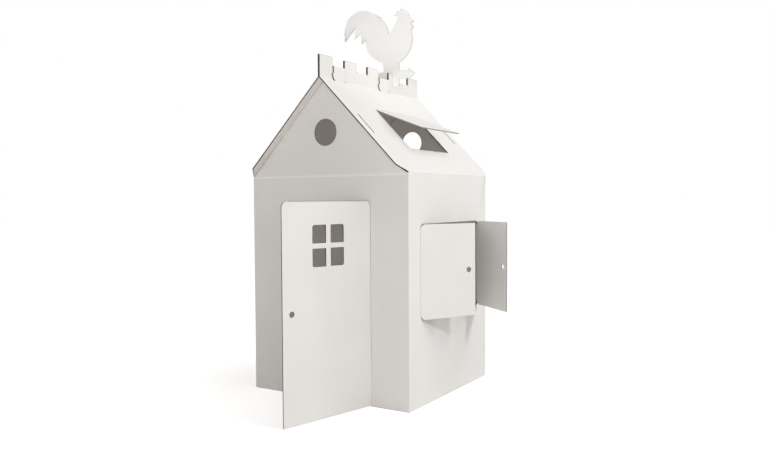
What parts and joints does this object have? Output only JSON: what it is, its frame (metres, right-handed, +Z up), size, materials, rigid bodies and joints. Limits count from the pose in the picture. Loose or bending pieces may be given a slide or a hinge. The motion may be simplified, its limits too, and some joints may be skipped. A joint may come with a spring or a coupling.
{
  "type": "cardboard playhouse",
  "caption": "Folded cardboard playhouse with a pitched roof, battlement ridge, hinged door, shutters, roof light and a slotted weathercock.",
  "frame": {"origin": "at floor level under the middle of the four walls", "axes": "+Z up, -Y out of the door, +X out of the shuttered window"},
  "size_m": [1.0673, 1.2642, 1.8599],
  "materials": {
    "house_board": "matt white liner, brown core at cut edges",
    "flap_board": "matt white liner, brown core at cut edges",
    "cock_board": "matt white liner, brown core at cut edges"
  },
  "bodies": {
    "house": {"front_sheet": "house_board", "rear_sheet": "house_board", "weathercock": "cock_board"},
    "door_leaf": {"door": "flap_board"},
    "front_shutter_leaf": {"front_shutter": "flap_board"},
    "rear_shutter_leaf": {"rear_shutter": "flap_board"},
    "roof_light_leaf": {"roof_light_flap": "flap_board"}
  },
  "joints": [
    {"name": "door_hinge", "type": "hinge", "parent": "house", "child": "door_leaf", "pos_m": [0.232, -0.385, 0.4435], "axis": [0, 0, 1], "range_deg": [-76, 74]},
    {"name": "front_shutter_hinge", "type": "hinge", "parent": "house", "child": "front_shutter_leaf", "pos_m": [0.42, -0.285, 0.5765], "axis": [0, 0, -1], "range_deg": [-28, 122]},
    {"name": "rear_shutter_hinge", "type": "hinge", "parent": "house", "child": "rear_shutter_leaf", "pos_m": [0.42, 0.293, 0.5765], "axis": [0, 0, 1], "range_deg": [-52, 98]},
    {"name": "roof_light_hinge", "type": "hinge", "parent": "house", "child": "roof_light_leaf", "pos_m": [0.12906, 0.0105, 1.29606], "axis": [0, -1, 0], "range_deg": [-24.5, 95.5]}
  ]
}
